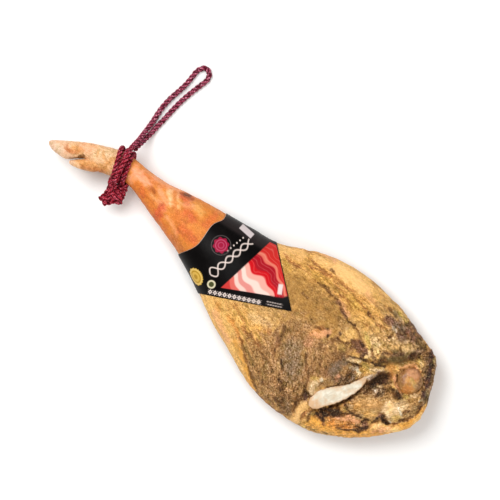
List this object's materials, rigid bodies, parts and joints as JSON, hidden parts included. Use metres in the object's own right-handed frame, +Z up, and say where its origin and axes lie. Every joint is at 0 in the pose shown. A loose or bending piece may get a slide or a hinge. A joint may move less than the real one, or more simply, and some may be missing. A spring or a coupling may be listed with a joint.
{
  "type": "cured ham",
  "caption": "Whole cured ham on the bone with its trotter, lying cut side up, with a plain card sleeve round the shank and a rope tied round the ankle in a long hanging loop.",
  "frame": {"origin": "on the table, under the middle of the ham's box without the free rope", "axes": "+X from the toes to the butt end, +Y across the ham to the side where the rope's loop lies, +Z up out of the cut side"},
  "size_m": [0.81, 0.4031, 0.1123],
  "materials": {
    "cured_meat": "dry cured fat and meat, grained and mottled, satin where fat shows",
    "bone": "sawn bone, matt",
    "cartilage": "dry golden cartilage, satin",
    "sleeve_card": null,
    "rope": "twisted burgundy cord"
  },
  "bodies": {
    "root": {"ham": "cured_meat", "hip_bone": "bone", "femur_head": "cartilage", "card_sleeve": "sleeve_card", "rope_knot": "rope", "rope_loop": "rope"}
  },
  "joints": []
}
